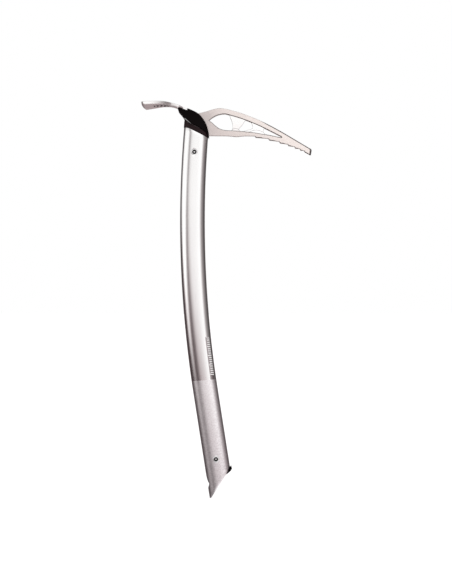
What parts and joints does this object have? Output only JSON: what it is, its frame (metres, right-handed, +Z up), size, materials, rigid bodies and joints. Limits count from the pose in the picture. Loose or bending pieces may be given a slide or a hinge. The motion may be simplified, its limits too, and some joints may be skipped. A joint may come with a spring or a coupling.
{
  "type": "ice axe",
  "caption": "Light ice axe with a bent oval alloy tube for a shaft, cut to a point at the foot, a flat trussed pick with a toothed belly, a flared adze and a black palm cover.",
  "frame": {"origin": "bottom centre of the bounding box, so z = 0 is the tip of the spike", "axes": "+Z up along the shaft, +X towards the pick, and y = 0 is the plane that the pick lies in"},
  "size_m": [0.1956, 0.0454, 0.4551],
  "materials": {
    "satin_alloy": "satin anodised, blasted matt over the lower grip",
    "blasted_alloy": "fine bead-blasted",
    "forged_alloy": "satin, with a ground cutting edge",
    "rivet_steel": "satin",
    "black_nylon": "fine moulded grain",
    "grey_nylon": "as moulded"
  },
  "bodies": {
    "root": {"shaft_tube": "satin_alloy", "pick": "blasted_alloy", "adze": "forged_alloy", "adze_rivet_rear": "rivet_steel", "adze_rivet_front": "rivet_steel", "palm_cover_left": "black_nylon", "palm_cover_right": "black_nylon", "head_collar": "black_nylon", "tang_packer_left": "grey_nylon", "tang_packer_right": "grey_nylon", "head_rivet_tube": "rivet_steel", "head_rivet_core": "rivet_steel", "spike_plug": "black_nylon", "plug_rivet_tube": "rivet_steel", "plug_rivet_core": "rivet_steel"}
  },
  "joints": []
}
